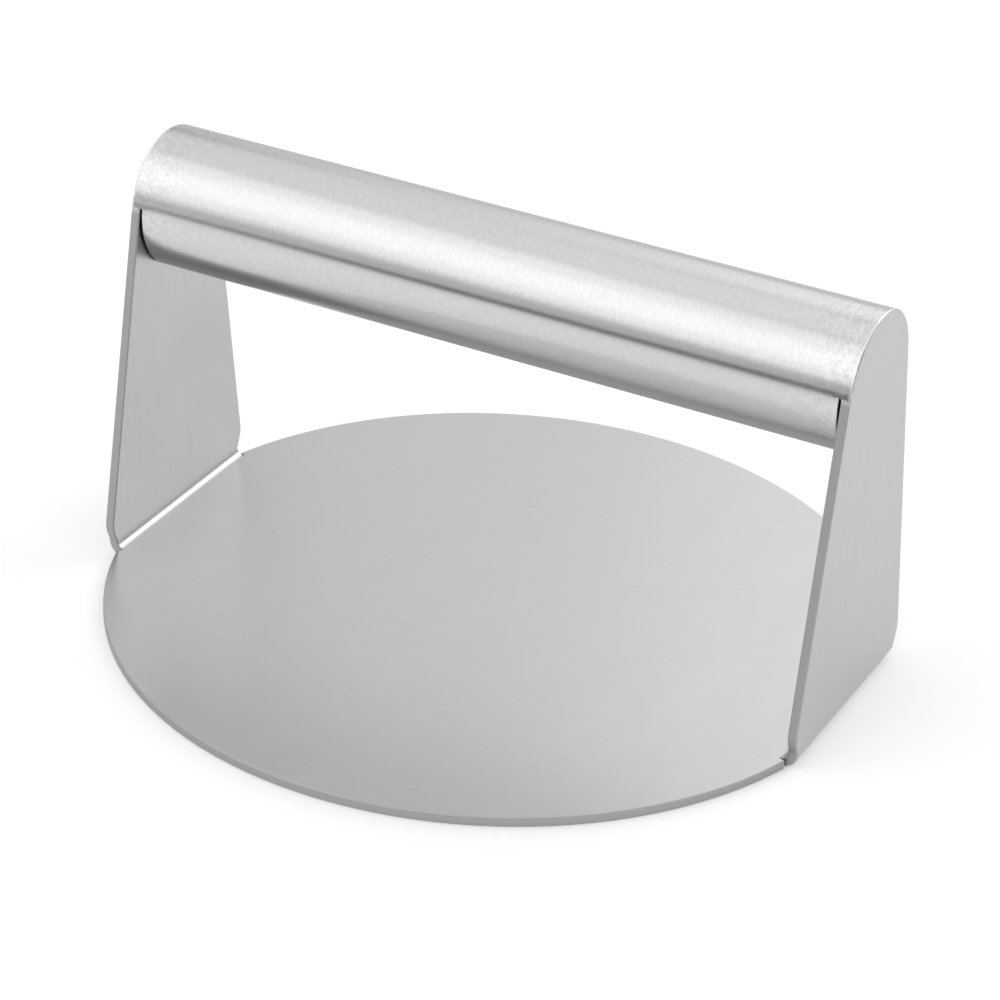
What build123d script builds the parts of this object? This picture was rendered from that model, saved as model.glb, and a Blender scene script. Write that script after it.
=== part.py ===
from build123d import *
import math
import os

# Burger press: a round stainless plate with two ears folded up out of the same sheet, and
# a tube handle welded between them.
# Millimetres. +Z is up, +X runs along the handle, and the origin is the middle of the
# plate's underside, on the table.

# Plate
plate_diameter = 140.0
sheet_thickness = 1.7
edge_round = 0.25              # rounding of the cut edges of the sheet and of the tube

# Ears
fold_inset = 4.5               # from the plate's rim in to the line where the fold starts
fold_inner_radius = 1.4
ear_base_half_width = 23.3     # where the ear's straight sides would meet the table
foot_half_width = 21.0         # the ear is narrower at its fold, below its rounded corners
foot_neck_height = 3.2
corner_height = 6.0            # where the ear's sides turn in to that foot
corner_radius = 5.0
neck_radius = 1.0
relief_width = 0.3             # slit beside the foot, which lets the sheet fold

# Handle
handle_diameter = 25.0
handle_wall = 1.2
handle_axis_height = 64.3

# Welds, ground flush with the handle
butt_gap = 0.4                 # open joint between the handle's end and the ear
weld_root_face = 0.3           # wall of the handle left standing under the weld
weld_edge_margin = 0.5         # sheet left standing between the weld and the ear's outer face

# Worked out from the sizes above
plate_radius = plate_diameter / 2
handle_radius = handle_diameter / 2
fold_outer_radius = fold_inner_radius + sheet_thickness
fold_start_x = plate_radius - fold_inset
ear_outer_x = fold_start_x + fold_outer_radius
ear_inner_x = ear_outer_x - sheet_thickness
notch_half_width = foot_half_width + relief_width
handle_half_length = ear_inner_x - butt_gap
weld_depth = handle_wall - weld_root_face
weld_middle_x = ear_inner_x - butt_gap / 2
weld_half_width = ear_outer_x - weld_edge_margin - weld_middle_x

# The ear's straight sides run up to where they touch its round top, which lies
# side_angle above the handle's axis.
base_to_axis = math.hypot(ear_base_half_width, handle_axis_height)
side_angle = math.acos(handle_radius / base_to_axis) - math.atan2(handle_axis_height, ear_base_half_width)
side_top_y = handle_radius * math.cos(side_angle)
side_top_z = handle_axis_height + handle_radius * math.sin(side_angle)
corner_y = ear_base_half_width - corner_height * math.tan(side_angle)
overall_height = handle_axis_height + handle_radius


def make_weld(side):
    """Weld bead that fills its groove, from one side of the ear over the top to the other."""
    groove_plane = Plane(
        origin=(0, 0, handle_axis_height),
        x_dir=(1, 0, 0),
        z_dir=(0, -math.sin(side_angle), math.cos(side_angle)),
    )
    with BuildPart() as bead:
        with BuildSketch(groove_plane):
            with BuildLine():
                Polyline(
                    (side * (weld_middle_x - weld_half_width), handle_radius),
                    (side * weld_middle_x, handle_radius - weld_depth),
                    (side * (weld_middle_x + weld_half_width), handle_radius),
                    close=True,
                )
            make_face()
        revolve(
            axis=Axis((0, 0, handle_axis_height), (1, 0, 0)),
            revolution_arc=180 - 2 * math.degrees(side_angle),
        )
    return bead.part


def make_ear():
    """Right ear with its fold: a bent strip of sheet, cut to the ear's tapered outline."""
    with BuildPart() as ear:
        with BuildSketch(Plane.XZ):
            with BuildLine():
                Line((fold_start_x, 0), (fold_start_x, sheet_thickness))
                RadiusArc(
                    (fold_start_x, sheet_thickness),
                    (ear_inner_x, fold_outer_radius),
                    -fold_inner_radius,
                )
                Polyline(
                    (ear_inner_x, fold_outer_radius),
                    (ear_inner_x, overall_height),
                    (ear_outer_x, overall_height),
                    (ear_outer_x, fold_outer_radius),
                )
                RadiusArc((ear_outer_x, fold_outer_radius), (fold_start_x, 0), fold_outer_radius)
            make_face()
        extrude(amount=plate_radius, both=True)
        with BuildSketch(Plane.YZ):
            with BuildLine():
                Polyline(
                    (side_top_y, side_top_z),
                    (corner_y, corner_height),
                    (foot_half_width, foot_neck_height),
                    (foot_half_width, 0),
                    (0, 0),
                )
                mirror(about=Plane.YZ)
                ThreePointArc((side_top_y, side_top_z), (0, overall_height), (-side_top_y, side_top_z))
            outline = make_face()
            fillet(outline.vertices().filter_by_position(Axis.Y, corner_height, corner_height), corner_radius)
            necks = outline.vertices().filter_by_position(Axis.Y, foot_neck_height, foot_neck_height)
            fillet(necks, neck_radius)
        extrude(amount=plate_radius, mode=Mode.INTERSECT)
        cut_edges = (
            ear.edges()
            .filter_by(Axis.X, reverse=True)
            .filter_by(Axis.Y, reverse=True)
            .filter_by(lambda edge: edge.center().X > fold_start_x + edge_round)
        )
        fillet(cut_edges, edge_round)
    return ear.part


right_weld = make_weld(1)
left_weld = make_weld(-1)
right_ear = make_ear()

# Round blank with an ear folded up at each side, between two slits that widen to the rim
with BuildPart() as press_plate:
    with BuildSketch():
        Circle(plate_radius)
    extrude(amount=sheet_thickness)
    fillet(press_plate.edges().filter_by(GeomType.CIRCLE), edge_round)
    with BuildSketch():
        with BuildLine():
            Polyline(
                (fold_start_x, notch_half_width),
                (1.2 * fold_start_x, 1.2 * notch_half_width),
                (1.2 * fold_start_x, -1.2 * notch_half_width),
                (fold_start_x, -notch_half_width),
                close=True,
            )
        make_face()
        mirror(about=Plane.YZ)
    extrude(amount=2 * sheet_thickness, mode=Mode.SUBTRACT)
    add(right_ear)
    mirror(right_ear, about=Plane.YZ)
    add([right_weld, left_weld], mode=Mode.SUBTRACT)

# Hollow tube that stops just short of the ears, held by the two welds
with BuildPart() as handle_tube:
    with BuildSketch(Plane.YZ.offset(-handle_half_length)):
        with Locations((0, handle_axis_height)):
            Circle(handle_radius)
            Circle(handle_radius - handle_wall, mode=Mode.SUBTRACT)
    extrude(amount=2 * handle_half_length)
    outer_rims = handle_tube.edges().filter_by(GeomType.CIRCLE).group_by(SortBy.RADIUS)[-1]
    fillet(outer_rims, edge_round)
    add([right_weld, left_weld], mode=Mode.SUBTRACT)

os.makedirs("parts", exist_ok=True)
pieces = {
    "press_plate": press_plate.part,
    "handle_tube": handle_tube.part,
    "left_handle_weld": left_weld,
    "right_handle_weld": right_weld,
}
for name, piece in pieces.items():
    piece.label = name
    export_step(piece, f"parts/{name}.step")
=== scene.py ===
import math

import bpy
from bpy.props import FloatProperty, FloatVectorProperty, PointerProperty, StringProperty
from mathutils import Euler, Matrix, Vector


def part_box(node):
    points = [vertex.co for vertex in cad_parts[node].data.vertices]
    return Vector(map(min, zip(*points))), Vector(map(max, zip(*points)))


# Burger press: a satin stainless plate with two folded-up ears and a brushed tube handle.
# Everything is in metres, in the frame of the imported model: +Z is up, +X runs along the
# handle, and the origin is the middle of the plate's underside.

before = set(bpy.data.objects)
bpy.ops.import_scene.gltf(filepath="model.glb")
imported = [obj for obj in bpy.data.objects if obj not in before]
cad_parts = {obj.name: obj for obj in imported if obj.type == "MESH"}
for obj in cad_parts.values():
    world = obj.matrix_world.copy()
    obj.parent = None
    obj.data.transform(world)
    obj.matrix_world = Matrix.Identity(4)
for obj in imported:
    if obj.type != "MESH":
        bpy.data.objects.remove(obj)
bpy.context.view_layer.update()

MM = 0.001
FLOOR_GAP = 0.02 * MM          # keeps the table just clear of the plate's underside
WEAR = 0.08                    # roughness that handling and washing add in patches

TUBE_LOW, TUBE_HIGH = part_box("handle_tube")
TUBE_AXIS_Z = (TUBE_HIGH.z + TUBE_LOW.z) / 2
TUBE_END_X = TUBE_HIGH.x
WELD_LOW_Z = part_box("right_handle_weld")[0].z

bl_info = {
    "name": "Burger press",
    "version": (1, 0, 0),
    "blender": (4, 5, 0),
    "location": "View3D > Sidebar > Burger press",
    "description": "Finishes a stainless burger press and lights it in a plain studio",
    "category": "Object",
}


def linear(hex_colour):
    """sRGB hex to the linear RGBA that shaders take."""
    channels = [int(hex_colour[i : i + 2], 16) / 255 for i in (1, 3, 5)]
    return [c / 12.92 if c <= 0.04045 else ((c + 0.055) / 1.055) ** 2.4 for c in channels] + [1.0]


class SteelSettings(bpy.types.PropertyGroup):
    """Colours and grain of the steel."""

    sheet_colour: StringProperty(
        name="Sheet colour", description="Satin stainless sheet, face on", default="#C9C9C9"
    )
    sheet_shade: StringProperty(
        name="Sheet shade", description="Bottom of the sheet's brush lines", default="#C0C0C0"
    )
    # Partly the matt cut's own tone and partly painted shade, for the dark reflections on the cut
    # edges.
    cut_colour_and_shade: StringProperty(
        name="Cut edge colour", description="Laser-cut and deburred edge of the sheet",
        default="#AAAAAA",
    )
    tube_colour: StringProperty(
        name="Tube colour", description="Belt-ground stainless tube, face on", default="#DADADA"
    )
    tube_shade: StringProperty(
        name="Tube shade", description="Bottom of the tube's grinding lines", default="#C2C2C2"
    )
    sheet_grazing: StringProperty(
        name="Sheet grazing tint", description="Reflection of the sheet seen at a flat angle",
        default="#EFEFEF",
    )
    tube_grazing: StringProperty(
        name="Tube grazing tint", description="Reflection of the tube seen at a flat angle",
        default="#D2D2D2",
    )
    sheet_roughness: FloatProperty(
        name="Sheet roughness", description="Roughness of the sheet where it is least worn",
        default=0.27, subtype="FACTOR",
    )
    cut_roughness: FloatProperty(
        name="Cut edge roughness", description="Roughness of the sheet's cut edges",
        default=0.45, subtype="FACTOR",
    )
    rim_roughness: FloatProperty(
        name="Rim roughness", description="Roughness of the ears' tops, ground with the tube",
        default=0.26, subtype="FACTOR",
    )
    tube_roughness: FloatProperty(
        name="Tube roughness", description="Roughness of the tube where it is least worn",
        default=0.21, subtype="FACTOR",
    )
    # Real brush and grinding lines lie about 0.1 mm apart. Both are drawn coarser, to show.
    sheet_line: FloatProperty(
        name="Sheet line spacing", description="Distance between the sheet's brush lines",
        default=0.35 * MM, unit="LENGTH", precision=5,
    )
    sheet_streak: FloatProperty(
        name="Sheet streak length", description="Length of one brush line on the sheet",
        default=14 * MM, unit="LENGTH",
    )
    tube_line: FloatProperty(
        name="Tube line spacing", description="Distance between the tube's grinding lines",
        default=0.3 * MM, unit="LENGTH", precision=5,
    )
    tube_streak: FloatProperty(
        name="Tube streak length", description="Length of one grinding line round the tube",
        default=1.1 * MM, unit="LENGTH",
    )
    blended_length: FloatProperty(
        name="Blended length", description="Length of tube ground crosswise beside each weld",
        default=14 * MM, unit="LENGTH",
    )


class StudioSettings(bpy.types.PropertyGroup):
    """Floor, lights and camera."""

    floor_colour: StringProperty(
        name="Floor colour", description="Matt white table", default="#F4F4F4"
    )
    floor_radius: FloatProperty(
        name="Floor radius", description="Half the width of the round table",
        default=3.0, unit="LENGTH",
    )
    floor_lift: FloatProperty(
        name="Floor lift", description="What the eye and reflections add to the table's white",
        default=0.21,
    )
    fill_strength: FloatProperty(
        name="Room light", description="Strength of the white room on matt surfaces", default=0.75
    )
    camera_place: FloatVectorProperty(
        name="Camera place", description="Where the camera stands", size=3,
        default=(0.2505, -0.4996, 0.3377), subtype="TRANSLATION", unit="LENGTH",
    )
    camera_yaw: FloatProperty(
        name="Camera yaw", description="Turn of the camera to the left of +Y",
        default=math.radians(26.616), subtype="ANGLE",
    )
    camera_tilt: FloatProperty(
        name="Camera tilt", description="How far the camera looks down",
        default=math.radians(29.486), subtype="ANGLE",
    )
    camera_roll: FloatProperty(
        name="Camera roll", description="Turn of the camera about its own line of sight",
        default=math.radians(2.595), subtype="ANGLE",
    )
    camera_lens: FloatProperty(
        name="Lens", description="Focal length in millimetres on a 36 mm sensor", default=130.6
    )


def add_node(tree, kind, values=None):
    """Add a node. A value sets the property or input of its name, or is linked to the input."""
    node = tree.nodes.new(kind)
    for key, value in (values or {}).items():
        if isinstance(value, bpy.types.NodeSocket):
            tree.links.new(value, node.inputs[key])
        elif isinstance(key, str) and hasattr(node, key):
            setattr(node, key, value)
        else:
            node.inputs[key].default_value = value
    return node


def new_material(name):
    """An empty node material with only its output."""
    material = bpy.data.materials.new(name)
    material.use_nodes = True
    material.node_tree.nodes.clear()
    return material, material.node_tree, add_node(material.node_tree, "ShaderNodeOutputMaterial")


def object_place(tree):
    """Object coordinates, whole and split into X, Y and Z."""
    place = add_node(tree, "ShaderNodeTexCoord").outputs["Object"]
    return place, add_node(tree, "ShaderNodeSeparateXYZ", {"Vector": place}).outputs


def grain(tree, place, cell, turn=0.0):
    """Scratches or patches: noise whose cells have this size along X, Y and Z, turned about Y."""
    stretched = add_node(
        tree, "ShaderNodeMapping",
        {
            "vector_type": "TEXTURE", "Vector": place,
            "Rotation": (0.0, turn, 0.0), "Scale": cell,
        },
    )
    return add_node(
        tree, "ShaderNodeTexNoise",
        {"Vector": stretched.outputs["Vector"], "Scale": 1.0, "Detail": 2.0, "Roughness": 0.55},
    ).outputs["Fac"]


def satin_sheet(steel):
    """Satin-brushed stainless sheet: fine straight lines along the handle and up the ears,
    which soften every reflection to a grey sheen. The laser-cut edges are duller and darker:
    their darker colour is partly the matt cut's own and partly painted shade, for the dark
    reflections on them. The ears' round tops are ground with the tube, so that the two look
    like one piece."""
    material, tree, output = new_material("satin_brushed_stainless_sheet")
    place, axes = object_place(tree)
    facing = add_node(
        tree, "ShaderNodeSeparateXYZ",
        {"Vector": add_node(tree, "ShaderNodeNewGeometry").outputs["True Normal"]},
    ).outputs
    line = (steel.sheet_streak, steel.sheet_line, steel.sheet_streak)
    worn_patch = (9 * MM, 30 * MM, 25 * MM)
    lines = grain(tree, place, line)
    sheet = add_node(
        tree, "ShaderNodeMix",
        {
            "data_type": "RGBA", 0: lines,
            6: linear(steel.sheet_shade), 7: linear(steel.sheet_colour),
        },
    ).outputs[2]
    # A face of the sheet has no Y in its normal, and a cut edge has some nearly everywhere.
    sideways = add_node(
        tree, "ShaderNodeMath", {"operation": "ABSOLUTE", 0: facing["Y"]}
    ).outputs[0]
    cut = add_node(
        tree, "ShaderNodeMapRange", {"Value": sideways, "From Min": 0.1, "From Max": 0.28}
    ).outputs["Result"]
    # The ears' faces look along X, and their edges don't. Above the lower ends of the welds,
    # these edges are the round tops.
    lengthwise = add_node(
        tree, "ShaderNodeMath", {"operation": "ABSOLUTE", 0: facing["X"]}
    ).outputs[0]
    rim = add_node(
        tree, "ShaderNodeMapRange",
        {"Value": lengthwise, "From Min": 0.75, "From Max": 0.45},
    ).outputs["Result"]
    high = add_node(
        tree, "ShaderNodeMapRange",
        {"Value": axes["Z"], "From Min": WELD_LOW_Z - MM, "From Max": WELD_LOW_Z},
    ).outputs["Result"]
    ground = add_node(
        tree, "ShaderNodeMath", {"operation": "MULTIPLY", 0: rim, 1: high}
    ).outputs[0]
    # The cut edges' darker colour is partly their matt cut and partly painted shade, for the dark
    # reflections on them.
    with_cuts_and_shade = add_node(
        tree, "ShaderNodeMix",
        {"data_type": "RGBA", 0: cut, 6: sheet, 7: linear(steel.cut_colour_and_shade)},
    ).outputs[2]
    colour = add_node(
        tree, "ShaderNodeMix",
        {"data_type": "RGBA", 0: ground, 6: with_cuts_and_shade, 7: linear(steel.tube_colour)},
    ).outputs[2]
    worn = add_node(
        tree, "ShaderNodeMapRange",
        {
            "Value": grain(tree, place, worn_patch),
            "To Min": steel.sheet_roughness, "To Max": steel.sheet_roughness + WEAR,
        },
    ).outputs["Result"]
    with_dull_cuts = add_node(
        tree, "ShaderNodeMix", {0: cut, 2: worn, 3: steel.cut_roughness}
    ).outputs[0]
    roughness = add_node(
        tree, "ShaderNodeMix", {0: ground, 2: with_dull_cuts, 3: steel.rim_roughness}
    ).outputs[0]
    bump = add_node(
        tree, "ShaderNodeBump", {"Strength": 0.3, "Distance": 0.002 * MM, "Height": lines}
    ).outputs["Normal"]
    across = add_node(tree, "ShaderNodeCombineXYZ", {"X": 0.0, "Y": 1.0, "Z": 0.0})
    metal = add_node(
        tree, "ShaderNodeBsdfPrincipled",
        {
            "Base Color": colour, "Metallic": 1.0, "Roughness": roughness, "Normal": bump,
            "Specular Tint": linear(steel.sheet_grazing), "Anisotropic": 0.5,
            "Tangent": across.outputs["Vector"],
        },
    )
    tree.links.new(metal.outputs["BSDF"], output.inputs["Surface"])
    return material


def ground_tube(steel):
    """Belt-ground stainless tube: short lines round the tube, which sparkle in the light band
    and keep the dark line along the handle crisp. Beside the welds the lines cross, where
    the beads were ground away by hand."""
    material, tree, output = new_material("belt_ground_stainless_tube")
    place, axes = object_place(tree)
    line = (steel.tube_line, steel.tube_streak, steel.tube_streak)
    slanted_line = (0.35 * MM, 1.5 * MM, 1.5 * MM)
    slant = math.radians(50)
    worn_patch = (22 * MM, 8 * MM, 8 * MM)
    lines = grain(tree, place, line)
    crossing = add_node(
        tree, "ShaderNodeMath",
        {
            "operation": "MULTIPLY",
            0: grain(tree, place, slanted_line, slant),
            1: grain(tree, place, slanted_line, -slant),
        },
    ).outputs[0]
    # The product of two noises stays near a quarter, so it is stretched to run from 0 to 1.
    hatched = add_node(
        tree, "ShaderNodeMath",
        {"operation": "MULTIPLY_ADD", "use_clamp": True, 0: crossing, 1: 3.6, 2: -0.4},
    ).outputs[0]
    reach = add_node(
        tree, "ShaderNodeMath", {"operation": "ABSOLUTE", 0: axes["X"]}
    ).outputs[0]
    near_weld = add_node(
        tree, "ShaderNodeMapRange",
        {
            "interpolation_type": "SMOOTHSTEP", "Value": reach,
            "From Min": TUBE_END_X - steel.blended_length, "From Max": TUBE_END_X,
        },
    ).outputs["Result"]
    scratches = add_node(
        tree, "ShaderNodeMix", {0: near_weld, 2: lines, 3: hatched}
    ).outputs[0]
    colour = add_node(
        tree, "ShaderNodeMix",
        {
            "data_type": "RGBA", 0: scratches,
            6: linear(steel.tube_shade), 7: linear(steel.tube_colour),
        },
    ).outputs[2]
    roughness = add_node(
        tree, "ShaderNodeMapRange",
        {
            "Value": grain(tree, place, worn_patch),
            "To Min": steel.tube_roughness, "To Max": steel.tube_roughness + WEAR,
        },
    ).outputs["Result"]
    bump = add_node(
        tree, "ShaderNodeBump", {"Strength": 0.45, "Distance": 0.004 * MM, "Height": scratches}
    ).outputs["Normal"]
    along = add_node(tree, "ShaderNodeCombineXYZ", {"X": 1.0, "Y": 0.0, "Z": 0.0})
    metal = add_node(
        tree, "ShaderNodeBsdfPrincipled",
        {
            "Base Color": colour, "Metallic": 1.0, "Roughness": roughness, "Normal": bump,
            "Specular Tint": linear(steel.tube_grazing), "Anisotropic": 0.7,
            "Tangent": along.outputs["Vector"],
        },
    )
    tree.links.new(metal.outputs["BSDF"], output.inputs["Surface"])
    return material


def only_material(node, material):
    """Give a CAD node this material alone."""
    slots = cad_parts[node].data.materials
    slots.clear()
    slots.append(material)


class PRESS_OT_finish_plate(bpy.types.Operator):
    """Finish the folded plate as satin-brushed stainless sheet"""

    bl_idname = "press.finish_plate"
    bl_label = "Finish plate"

    def execute(self, context):
        only_material("press_plate", satin_sheet(context.scene.press_steel))
        return {"FINISHED"}


class PRESS_OT_finish_handle(bpy.types.Operator):
    """Finish the handle and its two welds as belt-ground stainless"""

    bl_idname = "press.finish_handle"
    bl_label = "Finish handle"

    def execute(self, context):
        material = ground_tube(context.scene.press_steel)
        for node in ("handle_tube", "left_handle_weld", "right_handle_weld"):
            only_material(node, material)
        return {"FINISHED"}


class PRESS_OT_make_stage(bpy.types.Operator):
    """Lay the white floor, and set the room light, the cards, the lamps and the camera"""

    bl_idname = "press.make_stage"
    bl_label = "Make stage"

    def execute(self, context):
        studio = context.scene.press_studio
        lay_floor(studio)
        light_room(studio)
        set_cards()
        set_lamps()
        set_camera(studio)
        return {"FINISHED"}


def seen_directly(tree):
    """1 for rays from the camera and for reflections, 0 for the light that falls on things."""
    path = add_node(tree, "ShaderNodeLightPath").outputs
    total = path["Is Camera Ray"]
    for other in ("Is Glossy Ray", "Is Transmission Ray"):
        total = add_node(
            tree, "ShaderNodeMath",
            {"operation": "ADD", "use_clamp": True, 0: total, 1: path[other]},
        ).outputs[0]
    return total


def lay_floor(studio):
    """Matt white table. Its own faint glow, which only the eye and reflections see, lifts it
    to pure white and leaves the soft shadow round the plate."""
    bpy.ops.object.select_all(action="DESELECT")
    bpy.ops.mesh.primitive_circle_add(
        vertices=96, radius=studio.floor_radius, fill_type="NGON", location=(0, 0, -FLOOR_GAP)
    )
    floor = bpy.context.view_layer.objects.active
    floor.name = "floor"
    material, tree, output = new_material("matt_white_table")
    matt = add_node(tree, "ShaderNodeBsdfDiffuse", {"Color": linear(studio.floor_colour)})
    lift = add_node(
        tree, "ShaderNodeMath",
        {"operation": "MULTIPLY", 0: seen_directly(tree), 1: studio.floor_lift},
    )
    glow = add_node(tree, "ShaderNodeEmission", {"Strength": lift.outputs[0]})
    both = add_node(tree, "ShaderNodeAddShader", {0: matt.outputs[0], 1: glow.outputs[0]})
    tree.links.new(both.outputs[0], output.inputs["Surface"])
    floor.data.materials.append(material)


def light_room(studio):
    """White room: strength 1 where it is seen, a little less on matt surfaces."""
    world = bpy.data.worlds.new("white_room")
    bpy.context.scene.world = world
    world.use_nodes = True
    tree = world.node_tree
    tree.nodes.clear()
    strength = add_node(
        tree, "ShaderNodeMapRange",
        {"Value": seen_directly(tree), "To Min": studio.fill_strength, "To Max": 1.0},
    )
    background = add_node(
        tree, "ShaderNodeBackground",
        {"Color": (1, 1, 1, 1), "Strength": strength.outputs["Result"]},
    )
    output = add_node(tree, "ShaderNodeOutputWorld")
    tree.links.new(background.outputs[0], output.inputs["Surface"])


def turned_to(place, target):
    """Rotation that faces a lamp or a card at a place to a target."""
    return (Vector(target) - Vector(place)).to_track_quat("-Z", "Y").to_euler()


def set_cards():
    """Felt cards that only reflections see. The front one draws the dark line along the
    handle, the low one grades the tone under that line, the right and back ones darken the
    ears' edges and the left fold, and the left one shades that side of the plate."""
    # Each has its place, its target, its width and height, and its colour.
    cards = {
        "front_card": ((-0.07, -0.345, 0.029), (-0.23, 0.195, 0.029), 0.56, 0.058, "#101010"),
        "low_card": ((-0.1, -0.5, 0.12), (-0.1, 0, 0.12), 0.8, 0.1, "#D8D8D8"),
        "right_card": ((0.325, -0.24, 0.28), (-0.275, -0.24, 0.795), 0.42, 0.4, "#101010"),
        "back_card": ((0.515, 0.61, 0.07), (0, 0, 0.07), 0.27, 0.14, "#080808"),
        "left_card": ((-0.78, 0.72, 0.31), (0, 0, 0.31), 0.5, 0.62, "#B0B0B0"),
    }
    for name, (place, target, width, height, colour) in cards.items():
        bpy.ops.object.select_all(action="DESELECT")
        bpy.ops.mesh.primitive_plane_add(
            size=1, location=place, rotation=turned_to(place, target)
        )
        card = bpy.context.view_layer.objects.active
        card.name = name
        card.scale = (width, height, 1)
        material, tree, output = new_material(f"{name}_felt")
        felt = add_node(tree, "ShaderNodeBsdfDiffuse", {"Color": linear(colour)})
        tree.links.new(felt.outputs[0], output.inputs["Surface"])
        card.data.materials.append(material)
        card.visible_camera = False
        card.visible_diffuse = False
        card.visible_shadow = False


def set_lamps():
    """Softboxes. The wide one in front, with its brighter middle, lays the bright band on the
    handle, the two behind light the plate and the left ear, and the one above lifts the top
    of the handle towards its right end."""
    middle = (0, 0, TUBE_AXIS_Z)
    # Each has its place, its target, its width and height, and its radiance.
    lamps = {
        "front_softbox": ((-0.49, -0.78, 0.92), middle, 1.9, 1.25, 0.36),
        "front_softbox_middle": ((-0.46, -0.78, 0.86), middle, 1.6, 0.55, 0.22),
        "back_softbox": ((0.43, 1.05, 0.75), (0, 0, 0), 1.0, 0.95, 1.2),
        "back_side_softbox": ((-0.19, 1.08, 0.75), (0, 0, 0), 0.5, 0.95, 0.35),
        "top_softbox": ((-0.14, 0.2, 0.95), (-0.14, 0.2, 0), 0.36, 0.5, 0.14),
    }
    for name, (place, target, width, height, radiance) in lamps.items():
        lamp = bpy.data.lights.new(name, "AREA")
        lamp.shape = "RECTANGLE"
        lamp.size, lamp.size_y = width, height
        lamp.energy = radiance * math.pi * width * height
        box = bpy.data.objects.new(name, lamp)
        bpy.context.scene.collection.objects.link(box)
        box.location = place
        box.rotation_euler = turned_to(place, target)
        box.visible_camera = False


def set_camera(studio):
    """Camera at the photographed angle."""
    camera = bpy.data.objects.new("camera", bpy.data.cameras.new("camera"))
    bpy.context.scene.collection.objects.link(camera)
    bpy.context.scene.camera = camera
    camera.data.sensor_width = 36
    camera.data.lens = studio.camera_lens
    camera.data.clip_start = 0.01
    aim = Euler((math.pi / 2 - studio.camera_tilt, 0, studio.camera_yaw)).to_matrix()
    turn = aim @ Matrix.Rotation(studio.camera_roll, 3, "Z")
    camera.matrix_world = Matrix.LocRotScale(Vector(studio.camera_place), turn, None)


class PRESS_PT_panel(bpy.types.Panel):
    """Burger press tools"""

    bl_label = "Burger press"
    bl_idname = "PRESS_PT_panel"
    bl_space_type = "VIEW_3D"
    bl_region_type = "UI"
    bl_category = "Burger press"

    def draw(self, context):
        for group in (context.scene.press_steel, context.scene.press_studio):
            for name in group.__annotations__:
                self.layout.prop(group, name)
        for operator in OPERATORS:
            self.layout.operator(operator.bl_idname)


OPERATORS = (PRESS_OT_finish_plate, PRESS_OT_finish_handle, PRESS_OT_make_stage)
CLASSES = (SteelSettings, StudioSettings, *OPERATORS, PRESS_PT_panel)


def register():
    for cls in CLASSES:
        bpy.utils.register_class(cls)
    bpy.types.Scene.press_steel = PointerProperty(type=SteelSettings)
    bpy.types.Scene.press_studio = PointerProperty(type=StudioSettings)


def unregister():
    del bpy.types.Scene.press_studio
    del bpy.types.Scene.press_steel
    for cls in reversed(CLASSES):
        bpy.utils.unregister_class(cls)


def main():
    register()
    bpy.ops.press.finish_plate()
    bpy.ops.press.finish_handle()
    bpy.ops.press.make_stage()
    bpy.context.scene.view_settings.view_transform = "Standard"


if __name__ == "__main__":
    main()
